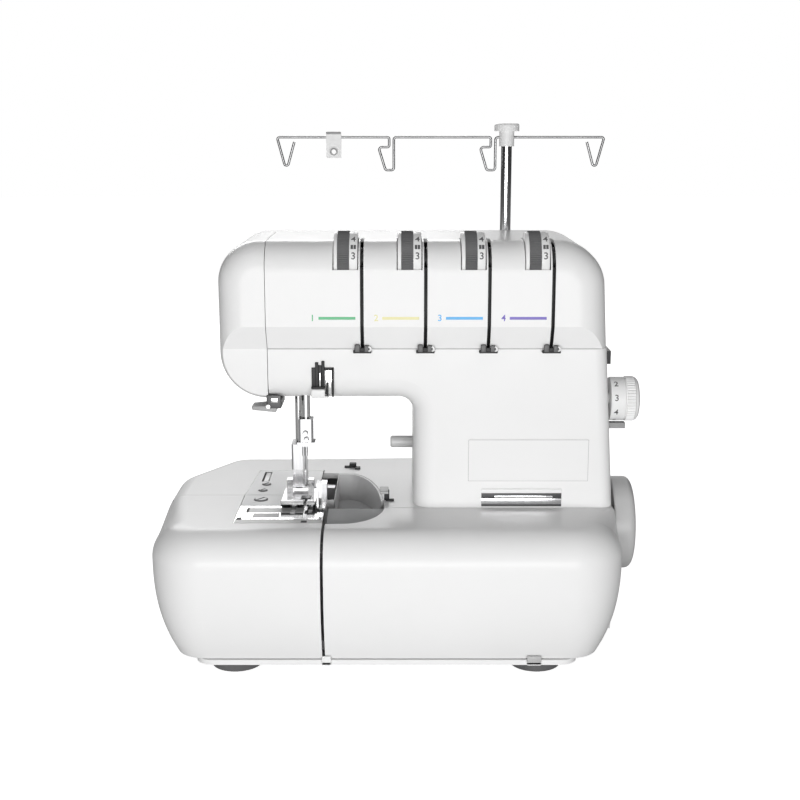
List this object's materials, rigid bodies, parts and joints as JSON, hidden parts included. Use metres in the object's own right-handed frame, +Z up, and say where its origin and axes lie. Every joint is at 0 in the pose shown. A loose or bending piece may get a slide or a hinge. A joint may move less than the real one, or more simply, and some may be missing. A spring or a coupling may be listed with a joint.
{
  "type": "serger overlock machine",
  "caption": "Home overlock machine with swing-out and tip-down front covers, tension dials, telescopic thread mast, spool pins, loopers, knives, presser foot and handwheel drive.",
  "frame": {"origin": "centre of the footprint box, on the floor under the rubber feet", "axes": "+X to the handwheel side, +Y to the back where the spool stand is, +Z up the thread mast"},
  "size_m": [0.33, 0.25, 0.3595],
  "materials": {
    "white_shell": "satin moulded plastic",
    "grey_plate": "satin grey paint",
    "bright_steel": "polished",
    "steel": "ground steel",
    "plated_steel": "nickel plate",
    "frame_casting": "as cast",
    "bush_brass": "turned",
    "rubber": "matt",
    "dark_plastic": "fine grain",
    "pale_plastic": "satin",
    "liner_plastic": "satin"
  },
  "bodies": {
    "machine": {"rubber_feet": "rubber", "base_pan": "white_shell", "base_housing": "white_shell", "column_housing": "white_shell", "upper_cover": "white_shell", "face_cover": "white_shell", "rear_cover": "white_shell", "throat_plate": "bright_steel", "needle_plate": "grey_plate", "bed_plate": "grey_plate", "looper_well_liner": "liner_plastic", "machine_frame": "frame_casting", "shaft_bushes": "bush_brass", "motor": "dark_plastic", "drive_belt": "rubber", "presser_spring": "steel", "lower_knife": "steel", "pivot_pins": "steel", "tension_units": "plated_steel", "slot_thread_guides": "plated_steel", "head_thread_guide": "plated_steel", "thread_cutter": "dark_plastic", "name_plate": "white_shell", "finger_plate": "bright_steel", "mast_tube": "plated_steel", "spool_stand": "dark_plastic", "spool_pins": "pale_plastic", "dial_pointer": "dark_plastic", "power_inlet": "dark_plastic", "case_screws": "plated_steel"},
    "drive": {"main_shaft": "steel", "handwheel": "pale_plastic"},
    "motor_rotor": {"motor_pulley": "steel"},
    "rocker": {"rocker_shaft": "steel"},
    "connecting_rod": {"connecting_rod": "steel"},
    "needle_bar": {"needle_bar": "plated_steel", "needle_clamp": "plated_steel", "needles": "plated_steel"},
    "presser_bar": {"presser_bar": "plated_steel", "presser_foot_holder": "plated_steel"},
    "presser_foot": {"presser_foot": "plated_steel"},
    "presser_lifter": {"presser_lifter": "pale_plastic"},
    "lower_looper": {"lower_looper": "steel"},
    "upper_looper": {"upper_looper": "steel"},
    "upper_knife": {"upper_knife": "steel", "upper_knife_arm": "plated_steel"},
    "feed": {"feed_dogs": "steel"},
    "cloth_plate": {"cloth_plate": "white_shell"},
    "cover_hinge": {"looper_cover_hinge_rod": "steel"},
    "looper_cover": {"looper_cover": "white_shell"},
    "tension_dial_1": {"tension_dial_1": "dark_plastic"},
    "tension_dial_2": {"tension_dial_2": "dark_plastic"},
    "tension_dial_3": {"tension_dial_3": "dark_plastic"},
    "tension_dial_4": {"tension_dial_4": "dark_plastic"},
    "mast": {"mast_rod": "plated_steel", "mast_cap": "pale_plastic", "guide_wire": "plated_steel", "wire_clip_plate": "plated_steel"},
    "stitch_length_dial": {"stitch_length_dial": "pale_plastic"},
    "power_switch": {"power_switch": "dark_plastic"}
  },
  "joints": [
    {"name": "handwheel_spin", "type": "hinge", "parent": "machine", "child": "drive", "pos_m": [0.15, -0.0195, 0.0783], "axis": [1, 0, 0], "continuous": true},
    {"name": "motor_spin", "type": "hinge", "parent": "machine", "child": "motor_rotor", "pos_m": [0.12, 0.045, 0.044], "axis": [1, 0, 0], "continuous": true},
    {"name": "needle_drive", "type": "hinge", "parent": "machine", "child": "rocker", "pos_m": [0, -0.00638, 0.213], "axis": [1, 0, 0], "range_deg": [0, 37.21]},
    {"name": "connecting_rod_slide", "type": "slide", "parent": "machine", "child": "connecting_rod", "axis": [0, 0, 1], "range_m": [-0.0154, 0.0001]},
    {"name": "needle_bar_slide", "type": "slide", "parent": "machine", "child": "needle_bar", "axis": [0, 0, 1], "range_m": [-0.0261, 0.0001]},
    {"name": "upper_looper_swing", "type": "hinge", "parent": "machine", "child": "upper_looper", "pos_m": [-0.095, -0.04, 0.045], "axis": [0, 1, 0], "range_deg": [-0.1, 20.1]},
    {"name": "lower_looper_swing", "type": "hinge", "parent": "machine", "child": "lower_looper", "pos_m": [-0.03, -0.045, 0.04], "axis": [0, 1, 0], "range_deg": [-20.1, 0.1]},
    {"name": "upper_knife_swing", "type": "hinge", "parent": "machine", "child": "upper_knife", "pos_m": [-0.05, -0.08, 0.076], "axis": [1, 0, 0], "range_deg": [-8.1, 0.1]},
    {"name": "feed_slide", "type": "slide", "parent": "machine", "child": "feed", "axis": [0, 1, 0], "range_m": [-0.0001, 0.0041]},
    {"name": "presser_lift", "type": "hinge", "parent": "machine", "child": "presser_lifter", "pos_m": [0, -0.014, 0.198], "axis": [-1, 0, 0], "range_deg": [0, 18.5]},
    {"name": "presser_bar_slide", "type": "slide", "parent": "machine", "child": "presser_bar", "axis": [0, 0, 1], "range_m": [-0.0001, 0.0059], "deforming": ["presser_spring"]},
    {"name": "presser_toe_lift", "type": "hinge", "parent": "presser_bar", "child": "presser_foot", "pos_m": [-0.0707, -0.024, 0.1085], "axis": [-1, 0, 0], "range_deg": [0, 12]},
    {"name": "cloth_plate_swing", "type": "hinge", "parent": "machine", "child": "cloth_plate", "pos_m": [-0.1624, -0.0286, 0.06], "axis": [0, 0, -1], "range_deg": [0, 75]},
    {"name": "looper_cover_slide", "type": "slide", "parent": "machine", "child": "cover_hinge", "axis": [1, 0, 0], "range_m": [0, 0.005], "stiffness_N_per_m": 200},
    {"name": "looper_cover_tip", "type": "hinge", "parent": "cover_hinge", "child": "looper_cover", "pos_m": [0, -0.108, 0.03], "axis": [1, 0, 0], "range_deg": [0, 80]},
    {"name": "tension_dial_1_turn", "type": "hinge", "parent": "machine", "child": "tension_dial_1", "pos_m": [-0.036, -0.046, 0.27], "axis": [1, 0, 0], "range_deg": [-150, 150]},
    {"name": "tension_dial_2_turn", "type": "hinge", "parent": "machine", "child": "tension_dial_2", "pos_m": [0.0062, -0.046, 0.27], "axis": [1, 0, 0], "range_deg": [-150, 150]},
    {"name": "tension_dial_3_turn", "type": "hinge", "parent": "machine", "child": "tension_dial_3", "pos_m": [0.0484, -0.046, 0.27], "axis": [1, 0, 0], "range_deg": [-150, 150]},
    {"name": "tension_dial_4_turn", "type": "hinge", "parent": "machine", "child": "tension_dial_4", "pos_m": [0.0906, -0.046, 0.27], "axis": [1, 0, 0], "range_deg": [-150, 150]},
    {"name": "mast_slide", "type": "slide", "parent": "machine", "child": "mast", "axis": [0, 0, 1], "range_m": [-0.038, 0.085]},
    {"name": "stitch_length_turn", "type": "hinge", "parent": "machine", "child": "stitch_length_dial", "pos_m": [0.15, -0.04, 0.1735], "axis": [1, 0, 0], "range_deg": [-120, 120]},
    {"name": "power_switch_rock", "type": "hinge", "parent": "machine", "child": "power_switch", "pos_m": [0.144, 0.026, 0.053], "axis": [0, 1, 0], "range_deg": [-6, 6]}
  ],
  "couplings": [
    {"joint": "motor_spin", "follows": "handwheel_spin", "ratio": 2.75},
    {"joint": "connecting_rod_slide", "follows": "needle_drive", "m_per_rad": -0.02356},
    {"joint": "needle_bar_slide", "follows": "needle_drive", "m_per_rad": -0.040037},
    {"joint": "upper_looper_swing", "follows": "needle_drive", "ratio": 0.53752},
    {"joint": "lower_looper_swing", "follows": "needle_drive", "ratio": -0.53752},
    {"joint": "upper_knife_swing", "follows": "needle_drive", "ratio": -0.21501},
    {"joint": "feed_slide", "follows": "needle_drive", "m_per_rad": 0.0061595},
    {"joint": "presser_bar_slide", "follows": "presser_lift", "m_per_rad": 0.017963}
  ]
}
